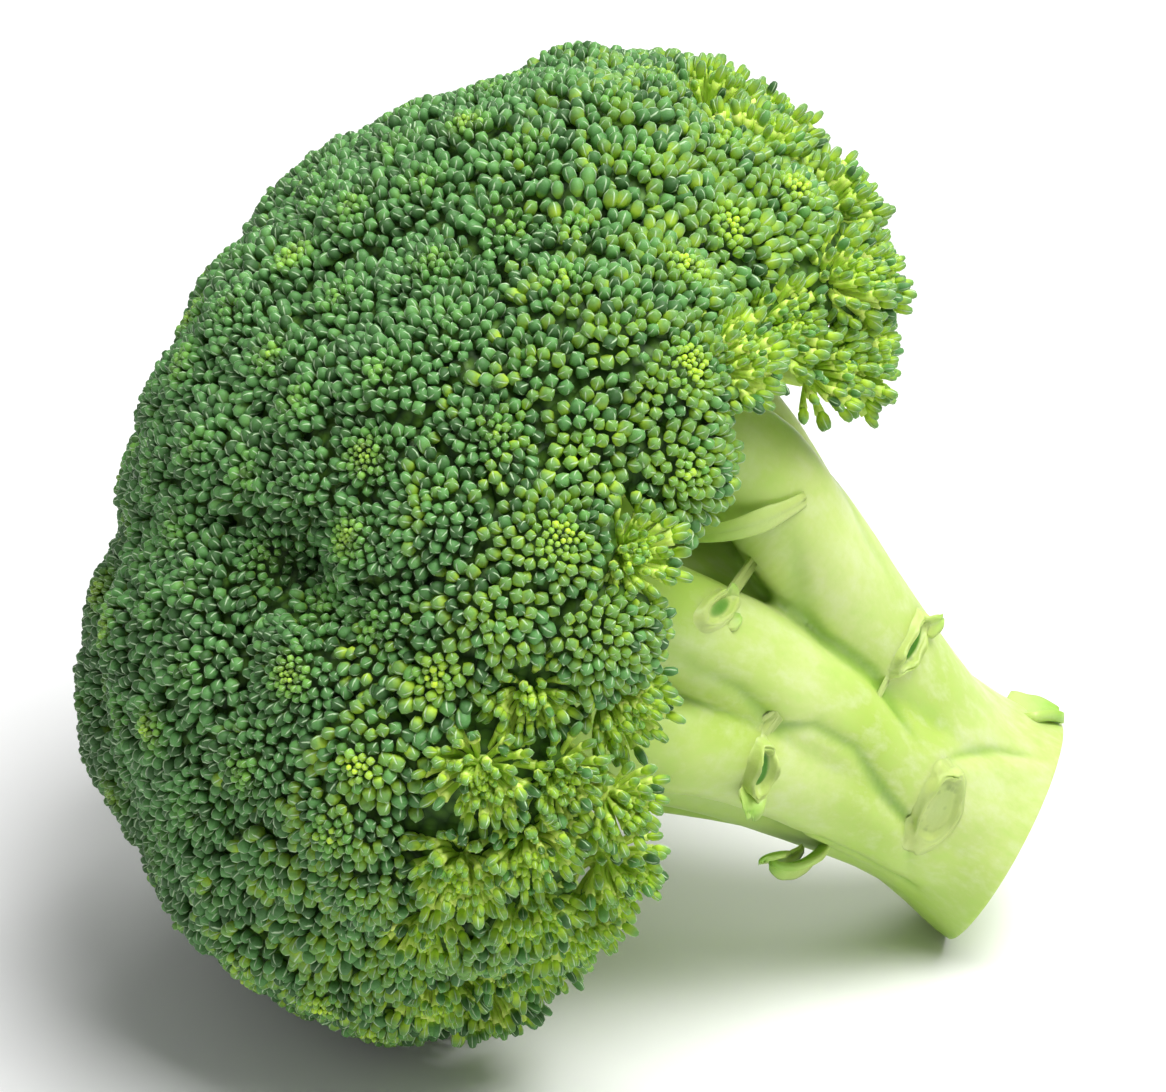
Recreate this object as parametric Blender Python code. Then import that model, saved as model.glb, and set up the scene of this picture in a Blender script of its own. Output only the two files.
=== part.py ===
# Broccoli head, cut from its plant and lying on its side.
# The crown rests on a flat patch of buds, and the lower edge of the cut stalk touches the surface.
# Origin: centre of the bounding box, at the resting surface. Z is up, the dome points to -X.
import math

import bmesh
import bpy
from mathutils import Matrix, Vector

# Crown, metres and degrees
CROWN_WIDTH = 0.160  # across the widest section
DOME_DEPTH = 0.062  # widest section to the top of the dome
CROWN_HEIGHT = 0.0735  # centre of the widest section above the resting surface
AXIS_RISE = 29.6  # the crown's axis above level, towards the top of the dome
AXIS_HEADING = 182.4  # its heading, from +X
GAP = 0.0003  # clearance between pieces that touch

# Florets
FLORET_RADIUS = 0.038  # half the width of a floret of size 1
FLORET_CAP = 0.030  # depth of its rounded cap
FLORET_TAPER = 0.022  # depth of the part that narrows to its branch
FLORET_BASE = 0.73  # share of the taper kept, down to the flat face on the branch
TAPER_SLIM = 0.65  # how fast the taper narrows
NEIGHBOUR_SPAN = 1.1  # between the directions of florets that can touch

# Stalk and branches
BUTT_RADIUS = 0.0178
STALK_FLARE = 0.0135  # how much wider the stalk is where it divides
STALK_LENGTH = 0.078
CUT_END_X = 0.0806  # middle of the cut end, from the middle of the crown
CUT_END_Y = 0.0100
CUT_END_Z = 0.0174  # above the resting surface
CUT_LIP = 0.0009  # the cut end spreads a little
FORK_DEPTH = 0.022  # where the stalk divides, below the crown's widest section
FORK_REACH = 0.028  # from there to the faces that carry the branches
STALK_RISE = -38.0  # the stalk's slope at its cut end
STALK_HEADING = 15.0
CUT_RISE = -27.0  # the knife's cut faces this way, aslant
CUT_HEADING = -6.5
RIBS = 7
RIB_DEPTH = 0.16  # of the radius, at the fork
RIB_TURN = 8.0  # degrees round the stalk
BRANCH_BASE = 0.0125
BRANCH_TOP = 0.0085
STALK_SIDES = 56
STALK_RINGS = 14

# Florets round the crown: degrees from the dome's top, degrees round the axis, size
RIM_FLORETS = [
    (84, 353, 1.00),
    (80, 318, 0.74),
    (77, 288, 0.80),
    (82, 255, 1.00),
    (92, 216, 0.98),
    (90, 178, 1.00),
    (92, 140, 1.00),
    (92, 103, 0.98),
    (92, 64, 1.00),
    (97, 26, 0.98),
]
SHOULDER_FLORETS = [
    (47, 352, 1.00),
    (58, 306, 1.05),
    (52, 232, 1.02),
    (58, 176, 1.05),
    (50, 124, 1.00),
    (50, 66, 1.00),
]
TOP_FLORETS = [(18, 315, 1.10)]
HANGING_FLORETS = [(102, 354, 0.74)]

# Leaf stubs and scars: name, millimetres up the stalk, degrees round it,
# length, width and height in millimetres, degrees of lean towards the crown
LEAF_REMNANTS = [
    ("leaf_stub_upper", 44, 331, 11, 3.2, 6, 35),
    ("leaf_stub_butt", 6, 22, 8, 3.4, 5, 0),
    ("leaf_scar_front", 24, 287, 12, 7, 2.6, 0),
    ("leaf_stub_front", 58, 268, 12, 4, 4.5, 20),
    ("leaf_stub_lower", 36, 231, 5, 3.5, 9, 40),
    ("leaf_scar_middle", 73, 299, 10, 8, 2.4, 10),
    ("bract_long", 66, 340, 4, 3, 14, 60),
    ("bract_small", 70, 352, 7, 3, 5, 40),
]

COLOURS = {
    "buds": ((0.10, 0.24, 0.11, 1), 0.6),
    "branch": ((0.52, 0.68, 0.22, 1), 0.45),
    "stalk": ((0.68, 0.82, 0.32, 1), 0.4),
    "leaf": ((0.30, 0.48, 0.12, 1), 0.5),
}


def heading(rise, turn):
    rise, turn = math.radians(rise), math.radians(turn)
    level = math.cos(rise)
    return Vector((level * math.cos(turn), level * math.sin(turn), math.sin(rise)))


AXIS = heading(AXIS_RISE, AXIS_HEADING)
SIDE = AXIS.cross(Vector((0, 0, 1))).normalized()
UP = SIDE.cross(AXIS)
CENTRE = Vector((0, 0, CROWN_HEIGHT))
FORK = CENTRE - AXIS * FORK_DEPTH
CUT_END = CENTRE + Vector((CUT_END_X, CUT_END_Y, CUT_END_Z - CROWN_HEIGHT))


def clear_scene():
    for item in list(bpy.data.objects):
        bpy.data.objects.remove(item, do_unlink=True)


def material(name):
    colour, roughness = COLOURS[name]
    made = bpy.data.materials.new(name)
    made.use_nodes = True
    shader = made.node_tree.nodes["Principled BSDF"]
    shader.inputs["Base Color"].default_value = colour
    shader.inputs["Roughness"].default_value = roughness
    shader.inputs["Metallic"].default_value = 0.0
    made.diffuse_color = colour
    return made


def finish_solid(bm, name, look):
    bmesh.ops.remove_doubles(bm, verts=bm.verts, dist=2e-5)
    bmesh.ops.dissolve_degenerate(bm, edges=bm.edges, dist=1e-5)
    bmesh.ops.recalc_face_normals(bm, faces=bm.faces)
    mesh = bpy.data.meshes.new(name)
    bm.to_mesh(mesh)
    bm.free()
    mesh.materials.append(look)
    mesh.shade_smooth()
    mesh.set_sharp_from_angle(angle=math.radians(35))
    solid = bpy.data.objects.new(name, mesh)
    bpy.context.scene.collection.objects.link(solid)
    return solid


def clip(bm, point, normal):
    """Cut away what lies beyond a plane and close the cut with a flat face."""
    everything = bm.verts[:] + bm.edges[:] + bm.faces[:]
    cut = bmesh.ops.bisect_plane(
        bm, geom=everything, plane_co=point, plane_no=normal, clear_outer=True, dist=1e-6
    )
    rim = [part for part in cut["geom_cut"] if isinstance(part, bmesh.types.BMEdge)]
    if rim:
        bmesh.ops.edgeloop_fill(bm, edges=rim)


def crown_direction(polar, turn):
    polar, turn = math.radians(polar), math.radians(turn)
    around = UP * math.cos(turn) + SIDE * math.sin(turn)
    return AXIS * math.cos(polar) + around * math.sin(polar)


class Floret:
    """A floret's place: the middle of its widest section, its outward direction and its size."""

    def __init__(self, name, polar, turn, size):
        self.name = name
        self.size = size
        towards = crown_direction(polar, turn)
        along = towards.dot(AXIS)
        half_width = CROWN_WIDTH / 2
        squash = (1 - along**2) / half_width**2 + along**2 / DOME_DEPTH**2
        surface = towards / math.sqrt(squash)
        across = surface - AXIS * surface.dot(AXIS)
        self.outward = (across / half_width**2 + AXIS * surface.dot(AXIS) / DOME_DEPTH**2).normalized()
        self.middle = CENTRE + surface - self.outward * FLORET_CAP
        self.base = self.middle - self.outward * FLORET_TAPER * FLORET_BASE
        self.way = (self.middle - FORK).normalized()


def plan_florets():
    groups = [
        ("rim", RIM_FLORETS),
        ("shoulder", SHOULDER_FLORETS),
        ("top", TOP_FLORETS),
        ("hanging", HANGING_FLORETS),
    ]
    plan = []
    for group, places in groups:
        for number, place in enumerate(places, start=1):
            label = group if len(places) == 1 else f"{group}_{number:02d}"
            plan.append(Floret(label, *place))
    return plan


def keep_to_own_sector(bm, spot, plan):
    """Cut back to the planes, all through the fork, that lie midway to each neighbour."""
    for other in plan:
        between = other.way - spot.way
        if other is spot or between.length > NEIGHBOUR_SPAN:
            continue
        between.normalize()
        clip(bm, FORK - between * GAP / 2, between)


def floret(spot, plan, look):
    """A rounded cap that narrows to a flat base, cut back where it meets its neighbours."""
    bm = bmesh.new()
    bmesh.ops.create_icosphere(bm, subdivisions=3, radius=1)
    radius = FLORET_RADIUS * spot.size
    for vert in bm.verts:
        below = max(0.0, -vert.co.z)
        slim = 1 - TAPER_SLIM * below
        depth = FLORET_CAP if vert.co.z > 0 else FLORET_TAPER
        vert.co = Vector((vert.co.x * radius * slim, vert.co.y * radius * slim, vert.co.z * depth))
    turn = spot.outward.to_track_quat("Z", "Y").to_matrix().to_4x4()
    bmesh.ops.transform(bm, matrix=Matrix.Translation(spot.middle) @ turn, verts=bm.verts)
    keep_to_own_sector(bm, spot, plan)
    clip(bm, spot.base, -spot.outward)
    clip(bm, Vector((0, 0, 0)), Vector((0, 0, -1)))
    return finish_solid(bm, "floret_" + spot.name, look)


def branch(spot, plan, look):
    """A tapered branch from the stalk's fork to its floret."""
    bm = bmesh.new()
    start = FORK + spot.way * (FORK_REACH - 0.004)
    end = spot.base + spot.outward * 0.004
    length = (end - start).length
    bmesh.ops.create_cone(
        bm, cap_ends=True, segments=16, radius1=BRANCH_BASE, radius2=BRANCH_TOP, depth=length
    )
    turn = (end - start).to_track_quat("Z", "Y").to_matrix().to_4x4()
    bmesh.ops.transform(bm, matrix=Matrix.Translation((start + end) / 2) @ turn, verts=bm.verts)
    clip(bm, FORK + spot.way * FORK_REACH, -spot.way)
    clip(bm, spot.base - spot.outward * GAP, spot.outward)
    keep_to_own_sector(bm, spot, plan)
    return finish_solid(bm, "branch_" + spot.name, look)


def stalk_point(share):
    """Centre line of the stalk, 0 at the cut end and 1 at the fork, as a cubic curve."""
    out = heading(STALK_RISE, STALK_HEADING)
    reach = STALK_LENGTH / 3
    bend = FORK - AXIS * reach
    before = CUT_END - out * reach
    rest = 1 - share
    return (
        CUT_END * rest**3
        + before * 3 * rest**2 * share
        + bend * 3 * rest * share**2
        + FORK * share**3
    )


def stalk_radius(share, angle):
    ribs = abs(math.cos(RIBS * (angle - math.radians(RIB_TURN)) / 2))
    depth = RIB_DEPTH * (0.12 + 0.88 * share**1.5)
    flare = STALK_FLARE * share**2.4 + CUT_LIP * (1 - share) ** 8
    return (BUTT_RADIUS + flare) * (1 - depth * (1 - ribs) + depth * 0.35)


def stalk_frame(share):
    """Directions across the stalk: towards the crown's upper side, and round from it."""
    ahead = (stalk_point(min(1, share + 0.02)) - stalk_point(max(0, share - 0.02))).normalized()
    upper = (UP - ahead * UP.dot(ahead)).normalized()
    return ahead, upper, ahead.cross(upper)


def stalk_surface(share, angle, extra=0.0):
    ahead, upper, side = stalk_frame(min(1, max(0, share)))
    beyond = AXIS * max(0, share - 1) + heading(STALK_RISE, STALK_HEADING) * max(0, -share)
    centre = stalk_point(min(1, max(0, share))) + beyond * STALK_LENGTH
    outward = upper * math.cos(angle) + side * math.sin(angle)
    return centre + outward * (stalk_radius(min(1, max(0, share)), angle) + extra)


def stalk_solid(extra=0.0):
    """A cylinder cut into rings, then drawn along the stalk's centre line and past the fork."""
    bm = bmesh.new()
    top = 1 + FORK_REACH * 1.3 / STALK_LENGTH
    bottom = -BUTT_RADIUS / STALK_LENGTH
    raised = Matrix.Translation((0, 0, (top + bottom) / 2))
    bmesh.ops.create_cone(
        bm, cap_ends=True, segments=STALK_SIDES, radius1=1, radius2=1, depth=top - bottom, matrix=raised
    )
    for step in range(STALK_RINGS + 1):
        everything = bm.verts[:] + bm.edges[:] + bm.faces[:]
        level = (0, 0, step / STALK_RINGS)
        bmesh.ops.bisect_plane(bm, geom=everything, plane_co=level, plane_no=(0, 0, 1), dist=1e-6)
    for vert in bm.verts:
        vert.co = stalk_surface(vert.co.z, math.atan2(vert.co.y, vert.co.x), extra)
    return bm


def stalk(plan, look):
    """The stalk has a slanting cut end, and ends in one flat face for each branch."""
    bm = stalk_solid()
    clip(bm, CUT_END, heading(CUT_RISE, CUT_HEADING))
    for spot in plan:
        clip(bm, FORK + spot.way * (FORK_REACH - GAP), spot.way)
    return finish_solid(bm, "stalk", look)


def stalk_clearance(look):
    guide = finish_solid(stalk_solid(GAP), "stalk_clearance", look)
    guide.hide_render = True
    guide.display_type = "WIRE"
    return guide


def leaf_remnant(place, guide, look):
    """A rounded stub or scar that stands on the stalk's surface and follows it closely."""
    name, up_stalk, turn, length, width, height, lean = place
    bm = bmesh.new()
    bmesh.ops.create_uvsphere(bm, u_segments=12, v_segments=8, radius=1)
    size = Vector((length, width, height)) / 1000
    bmesh.ops.scale(bm, vec=(size.x / 2, size.y / 2, size.z), verts=bm.verts)
    tilt = Matrix.Rotation(math.radians(lean), 4, "Y")
    share = up_stalk / 1000 / STALK_LENGTH
    angle = math.radians(turn)
    ahead, upper, side = stalk_frame(share)
    outward = upper * math.cos(angle) + side * math.sin(angle)
    axes = Matrix((ahead, outward.cross(ahead), outward)).transposed().to_4x4()
    seat = Matrix.Translation(stalk_surface(share, angle) - outward * size.z * 0.15)
    bmesh.ops.transform(bm, matrix=seat @ axes @ tilt, verts=bm.verts)
    solid = finish_solid(bm, name, look)
    cut = solid.modifiers.new("meets the stalk", "BOOLEAN")
    cut.operation = "DIFFERENCE"
    cut.object = guide
    return solid


def stand_on_origin(solids, guides):
    """Move everything so that the middle of the bounding box is over the origin."""
    corners = [vert.co for solid in solids for vert in solid.data.vertices]
    middle_x = (min(co.x for co in corners) + max(co.x for co in corners)) / 2
    middle_y = (min(co.y for co in corners) + max(co.y for co in corners)) / 2
    shift = Matrix.Translation((-middle_x, -middle_y, 0))
    for item in solids + guides:
        item.data.transform(shift)


def main():
    clear_scene()
    looks = {name: material(name) for name in COLOURS}
    plan = plan_florets()
    solids = [stalk(plan, looks["stalk"])]
    guide = stalk_clearance(looks["stalk"])
    for spot in plan:
        solids.append(branch(spot, plan, looks["branch"]))
        solids.append(floret(spot, plan, looks["buds"]))
    for place in LEAF_REMNANTS:
        solids.append(leaf_remnant(place, guide, looks["leaf"]))
    stand_on_origin(solids, [guide])


main()
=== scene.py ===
import math
import random

import bmesh
import bpy
import numpy as np
from mathutils import Matrix, Vector, noise
from mathutils.bvhtree import BVHTree


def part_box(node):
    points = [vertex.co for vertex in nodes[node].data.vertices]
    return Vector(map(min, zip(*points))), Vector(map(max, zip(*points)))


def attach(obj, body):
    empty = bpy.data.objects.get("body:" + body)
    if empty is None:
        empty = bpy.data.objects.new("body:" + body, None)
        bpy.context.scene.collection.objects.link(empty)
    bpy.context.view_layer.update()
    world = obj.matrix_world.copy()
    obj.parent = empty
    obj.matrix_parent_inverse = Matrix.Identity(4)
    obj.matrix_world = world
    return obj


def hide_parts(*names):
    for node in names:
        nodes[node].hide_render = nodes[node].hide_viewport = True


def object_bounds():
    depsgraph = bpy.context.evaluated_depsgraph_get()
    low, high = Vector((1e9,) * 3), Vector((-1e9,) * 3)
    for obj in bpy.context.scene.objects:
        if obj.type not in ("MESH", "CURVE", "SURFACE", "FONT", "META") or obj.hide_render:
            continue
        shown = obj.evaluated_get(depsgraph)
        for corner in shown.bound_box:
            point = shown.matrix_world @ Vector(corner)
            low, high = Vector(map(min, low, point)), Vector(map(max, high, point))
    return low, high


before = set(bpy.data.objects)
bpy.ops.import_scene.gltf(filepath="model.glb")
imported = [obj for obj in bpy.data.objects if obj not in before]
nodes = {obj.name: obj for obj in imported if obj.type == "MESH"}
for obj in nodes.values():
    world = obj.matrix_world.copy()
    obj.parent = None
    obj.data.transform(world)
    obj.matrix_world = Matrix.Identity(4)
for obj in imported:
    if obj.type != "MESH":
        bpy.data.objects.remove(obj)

# A head of broccoli lying on its side: buds in spirals, loose rim clusters, branchlets, ribbed stalk.
# Metres throughout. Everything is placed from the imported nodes.

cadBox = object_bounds()
mm = 0.001
goldenTurn = math.pi * (3 - math.sqrt(5))
upAxis = Vector((0, 0, 1))


def pointsOf(mesh):
    co = np.zeros(len(mesh.vertices) * 3, np.float32)
    mesh.vertices.foreach_get("co", co)
    return co.reshape(-1, 3)


resting = {"clear": 0.0004, "fade": 0.002}


def layOnSurface(mesh):
    # what would reach below the resting surface is pressed flat on it
    co = pointsOf(mesh)
    clear = resting["clear"]
    low = co[:, 2] < clear
    co[low, 2] = clear - clear * (1 - np.exp((co[low, 2] - clear) / resting["fade"]))
    mesh.vertices.foreach_set("co", co.ravel())


def linkPiece(name, mesh, standsFor, material=None):
    # the stalk comes without a material, and is laid down when its mesh is done
    if material:
        layOnSurface(mesh)
        mesh.materials.append(material)
    piece = bpy.data.objects.new(name, mesh)
    bpy.context.scene.collection.objects.link(piece)
    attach(piece, "root")
    if standsFor:
        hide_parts(*standsFor)
    return piece


def meshFrom(bm, name, smooth=False):
    if smooth:
        bmesh.ops.recalc_face_normals(bm, faces=bm.faces)
        for face in bm.faces:
            face.smooth = True
    mesh = bpy.data.meshes.new(name)
    bm.to_mesh(mesh)
    bm.free()
    return mesh


def turnTo(direction):
    return direction.to_track_quat("Z", "Y").to_matrix().to_4x4()


def closeOver(bm, ring):
    # the first ring is left open by the extrusion: give it its face back
    loose = {edge for vert in ring for edge in vert.link_edges if edge.is_boundary}
    if loose:
        bmesh.ops.holes_fill(bm, edges=list(loose))


def tubeAlong(bm, points, radii, sides):
    # a circle, drawn out along the points one step at a time
    ahead = (points[1] - points[0]).normalized()
    place = Matrix.Translation(points[0]) @ turnTo(ahead)
    ring = bmesh.ops.create_circle(bm, cap_ends=True, segments=sides, radius=radii[0], matrix=place)
    verts = ring["verts"]
    foot = verts[:]
    end = [face for face in verts[0].link_faces if len(face.verts) == sides]
    for step in range(1, len(points)):
        last = step == len(points) - 1
        after = points[step] - points[step - 1] if last else points[step + 1] - points[step - 1]
        after = after.normalized()
        grown = bmesh.ops.extrude_discrete_faces(bm, faces=end)
        end = grown["faces"]
        verts = end[0].verts[:]
        turn = Matrix.Translation(points[step]) @ ahead.rotation_difference(after).to_matrix().to_4x4()
        turn = turn @ Matrix.Scale(radii[step] / radii[step - 1], 4)
        turn = turn @ Matrix.Translation(-points[step - 1])
        bmesh.ops.transform(bm, matrix=turn, verts=verts)
        ahead = after
    closeOver(bm, foot)


def bezier(a, b, c, d, steps):
    line = []
    for step in range(steps + 1):
        t = step / steps
        r = 1 - t
        line.append(a * r**3 + b * 3 * r * r * t + c * 3 * r * t * t + d * t**3)
    return line


floretNames = sorted(name for name in nodes if name.startswith("floret_"))


def nodeMiddle(name):
    low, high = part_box(name)
    return (low + high) / 2


def crownFrame():
    # the rim florets stand in one ring: its plane gives the crown's axis
    ring = [nodeMiddle(name) for name in floretNames if "rim" in name]
    middle = sum(ring, Vector()) / len(ring)
    spread = np.array([point - middle for point in ring])
    axis = Vector(np.linalg.svd(spread)[2][2])
    if axis.dot(nodeMiddle("floret_top") - middle) < 0:
        axis.negate()
    return middle, axis


crownMiddle, crownAxis = crownFrame()
crownUp = (upAxis - crownAxis * upAxis.dot(crownAxis)).normalized()
crownSide = crownAxis.cross(crownUp)


def packedSurface():
    verts, faces, owners = [], [], []
    for name in floretNames:
        mesh = nodes[name].data
        start = len(verts)
        verts += [vert.co.copy() for vert in mesh.vertices]
        mesh.calc_loop_triangles()
        faces += [[start + index for index in tri.vertices] for tri in mesh.loop_triangles]
        owners += [name] * len(mesh.loop_triangles)
    return BVHTree.FromPolygons(verts, faces), owners


crown = {
    "farOut": 0.2,  # rays towards the crown start this far from its middle
    "skirtRadius": 62.0 * mm,  # behind the florets
    "softening": 10,
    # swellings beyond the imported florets: node, reach and height in millimetres
    "lobes": [("floret_rim_01", 24, 5.5), ("floret_rim_10", 16, 2.0), ("floret_rim_05", 18, 2.5)],
}
packedTree, faceOwners = packedSurface()


def metFrom(tree, way):
    # where a ray from outside first meets the tree on its way to the crown's middle, and the normal there
    return tree.ray_cast(crownMiddle + way * crown["farOut"], -way, crown["farOut"])[:2]


def softCrown():
    # a sphere drawn in to the florets, its steps from floret to floret smoothed away
    lobes = [(nodeMiddle(name), reach * mm, height * mm) for name, reach, height in crown["lobes"]]
    bm = bmesh.new()
    bmesh.ops.create_icosphere(bm, subdivisions=7, radius=1)
    for vert in bm.verts:
        way = vert.co.normalized()
        point = metFrom(packedTree, way)[0]
        point = point if point else crownMiddle + way * crown["skirtRadius"]
        for top, reach, height in lobes:
            apart = (point - top).length / reach
            point = point + way * height * math.exp(-apart * apart)
        vert.co = point
    allWays = {"use_axis_x": True, "use_axis_y": True, "use_axis_z": True}
    for _ in range(crown["softening"]):
        bmesh.ops.smooth_vert(bm, verts=bm.verts, factor=0.5, **allWays)
    tree = BVHTree.FromBMesh(bm)
    bm.free()
    return tree


crownTree = softCrown()


def onCrown(way):
    # the softened surface in this direction
    return metFrom(crownTree, way)


def ownerOf(point):
    return faceOwners[packedTree.find_nearest(point)[2]]


def polarOf(point):
    way = (point - crownMiddle).normalized()
    return math.degrees(math.acos(max(-1, min(1, way.dot(crownAxis)))))


def turnOf(point):
    way = point - crownMiddle
    return math.degrees(math.atan2(way.dot(crownSide), way.dot(crownUp))) % 360


print("frame read:", len(floretNames), "florets")


class skinMaker:
    # a short way to write a node tree
    def __init__(self, name):
        self.material = bpy.data.materials.new(name)
        self.material.use_nodes = True
        self.tree = self.material.node_tree
        self.shader = self.tree.nodes["Principled BSDF"]

    def add(self, kind, inputs=None, **settings):
        node = self.tree.nodes.new("ShaderNode" + kind)
        for key, value in settings.items():
            setattr(node, key, value)
        for key, value in (inputs or {}).items():
            self.put(node.inputs[key], value)
        return node

    def put(self, socket, value):
        if isinstance(value, bpy.types.NodeSocket):
            self.tree.links.new(value, socket)
        else:
            socket.default_value = value

    def math(self, operation, a, b=0.0, c=0.0, clamp=False):
        node = self.add("Math", operation=operation, use_clamp=clamp)
        for socket, value in zip(node.inputs, (a, b, c)):
            self.put(socket, value)
        return node.outputs[0]

    def times(self, a, b):
        return self.math("MULTIPLY", a, b)

    def mix(self, factor, a, b, blend="MIX"):
        node = self.add("Mix", data_type="RGBA", blend_type=blend)
        self.put(node.inputs["Factor"], factor)
        self.put(node.inputs["A"], a)
        self.put(node.inputs["B"], b)
        return node.outputs["Result"]

    def ramp(self, factor, stops):
        node = self.add("ValToRGB", {"Fac": factor})
        ends = node.color_ramp.elements
        while len(ends) < len(stops):
            ends.new(0.5)
        for end, (place, colour) in zip(ends, stops):
            end.position = place
            end.color = colour if isinstance(colour, tuple) else (colour, colour, colour, 1)
        return node.outputs["Color"]

    def noise(self, vector, scale, detail=2.0, roughness=0.5):
        inputs = {"Vector": vector, "Scale": scale, "Detail": detail, "Roughness": roughness}
        return self.add("TexNoise", inputs).outputs["Fac"]

    def bump(self, height, strength, distance):
        inputs = {"Height": height, "Strength": strength, "Distance": distance}
        return self.add("Bump", inputs).outputs["Normal"]

    def mark(self, name, output="Fac"):
        return self.add("Attribute", attribute_name=name).outputs[output]

    def over(self, below, mask, stops, above):
        # one colour over another, where the ramp of the mask says
        return self.mix(self.ramp(mask, stops), below, above)

    def finish(self, colour, rough, normal, soft=0.0, radius=None):
        inputs = self.shader.inputs
        for key, value in (("Base Color", colour), ("Roughness", rough), ("Normal", normal)):
            self.put(inputs[key], value)
        if soft:
            inputs["Subsurface Weight"].default_value = soft
            inputs["Subsurface Radius"].default_value = radius
            inputs["Subsurface Scale"].default_value = 1.0
        return self.material


def rgb(red, green, blue):
    return (red, green, blue, 1)


budTiles = 8  # ages across, colour variants up
budLooks = {
    "young": rgb(0.32, 0.54, 0.045),
    "growing": rgb(0.19, 0.42, 0.050),
    "grown": rgb(0.092, 0.280, 0.040),
    "old": rgb(0.078, 0.236, 0.054),
    "foot": rgb(0.34, 0.56, 0.06),
    "edge": rgb(0.58, 0.76, 0.48),
    "sunny": rgb(0.57, 0.80, 0.045),
    "roughness": 0.48,
}


def budSkin():
    # the bud's UV holds its age and variant as a tile, and its place on the bud inside the tile
    made = skinMaker("budSkin")
    place = made.add("UVMap", uv_map="OFBake").outputs["UV"]
    split = made.add("SeparateXYZ", {"Vector": place})
    across = made.times(split.outputs["X"], budTiles)
    up = made.times(split.outputs["Y"], budTiles)
    age = made.math("DIVIDE", made.math("FLOOR", across), budTiles - 1)
    variant = made.math("DIVIDE", made.math("FLOOR", up), budTiles - 1)
    around = made.math("FRACT", across)
    along = made.math("FRACT", up)
    body = made.ramp(age, [
        (0.0, budLooks["young"]),
        (0.3, budLooks["growing"]),
        (0.62, budLooks["grown"]),
        (1.0, budLooks["old"]),
    ])
    spots = made.noise(place, 150.0, 3.0, 0.6)
    body = made.mix(made.ramp(spots, [(0.3, 0.0), (0.75, 0.55)]), body,
                    made.mix(0.5, body, rgb(0.22, 0.36, 0.19)))
    sunny = made.ramp(variant, [(0.56, 0.0), (0.64, 0.75), (1.0, 1.0)])
    fading = made.ramp(along, [(0.30, 1.0), (0.85, 0.12)])
    fading = made.math("MAXIMUM", fading, made.math("SUBTRACT", 0.9, made.times(age, 1.4)))
    body = made.mix(made.times(sunny, fading), body, budLooks["sunny"])
    # the variant multiplies the colour, which varies its tone at random; clusters underneath get only the
    # darkest variants, and that is painted shade
    shade = made.ramp(variant, [(0.0, 0.50), (0.25, 0.93), (0.6, 1.28), (0.7, 0.95), (1.0, 1.1)])
    body = made.mix(1.0, body, shade, "MULTIPLY")
    foot = made.ramp(along, [(0.12, 0.9), (0.45, 0.0)])
    body = made.mix(foot, body, budLooks["foot"])
    # four sepals: pale lines where they meet, closing at the tip
    four = made.math("FRACT", made.times(around, 4.0))
    apart = made.math("ABSOLUTE", made.math("SUBTRACT", four, 0.5))
    line = made.ramp(apart, [(0.38, 0.0), (0.48, 1.0)])
    towardsTip = made.ramp(along, [(0.25, 0.05), (0.66, 0.9), (1.0, 0.8)])
    line = made.times(line, towardsTip)
    body = made.mix(line, body, budLooks["edge"])
    rough = made.ramp(spots, [(0.2, budLooks["roughness"] - 0.1), (0.8, budLooks["roughness"] + 0.12)])
    height = made.math("SUBTRACT", made.times(spots, 0.4), line)
    made.shader.inputs["Specular IOR Level"].default_value = 0.26
    return made.finish(body, rough, made.bump(height, 0.6, 0.00012))


pedicelLooks = {
    "pale": rgb(0.66, 0.83, 0.15),
    "deep": rgb(0.44, 0.68, 0.06),
}


def pedicelSkin():
    made = skinMaker("pedicelSkin")
    where = made.add("TexCoord").outputs["Object"]
    patches = made.noise(where, 170.0, 2.0)
    fine = made.noise(where, 1500.0, 3.0)
    colour = made.over(pedicelLooks["pale"], patches, [(0.35, 0.0), (0.65, 1.0)], pedicelLooks["deep"])
    colour = made.over(colour, fine, [(0.4, 0.0), (0.8, 0.35)], rgb(0.66, 0.78, 0.30))
    rough = made.ramp(fine, [(0.2, 0.34), (0.8, 0.55)])
    return made.finish(colour, rough, made.bump(fine, 0.3, 0.0001), 0.15, (0.0010, 0.0016, 0.0004))


cushionLooks = {
    # the gap colour, nearly black, is painted shade in the crevices between the cells
    "gap": rgb(0.012, 0.045, 0.004),
    "flesh": rgb(0.11, 0.25, 0.02),
}


def cushionSkin():
    made = skinMaker("cushionSkin")
    where = made.add("TexCoord").outputs["Object"]
    cells = made.add("TexVoronoi", {"Vector": where, "Scale": 620.0}).outputs["Distance"]
    patches = made.noise(where, 90.0, 3.0)
    # painted shade: nearly black between the cells
    colour = made.over(cushionLooks["gap"], cells, [(0.25, 1.0), (0.75, 0.0)], cushionLooks["flesh"])
    colour = made.over(colour, patches, [(0.35, 0.0), (0.7, 0.6)], rgb(0.05, 0.13, 0.02))
    rough = made.ramp(patches, [(0.2, 0.5), (0.8, 0.75)])
    return made.finish(colour, rough, made.bump(cells, 0.8, 0.0006))


stalkLooks = {
    "pale": rgb(0.56, 0.67, 0.23),
    "bright": rgb(0.42, 0.58, 0.09),
    "shadeAndDeepGreen": rgb(0.20, 0.40, 0.035),
    # "below" is the deeper green painted on the underside of the stalk: painted shade
    "below": rgb(0.27, 0.47, 0.05),
    "blush": rgb(0.65, 0.71, 0.42),
}


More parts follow.
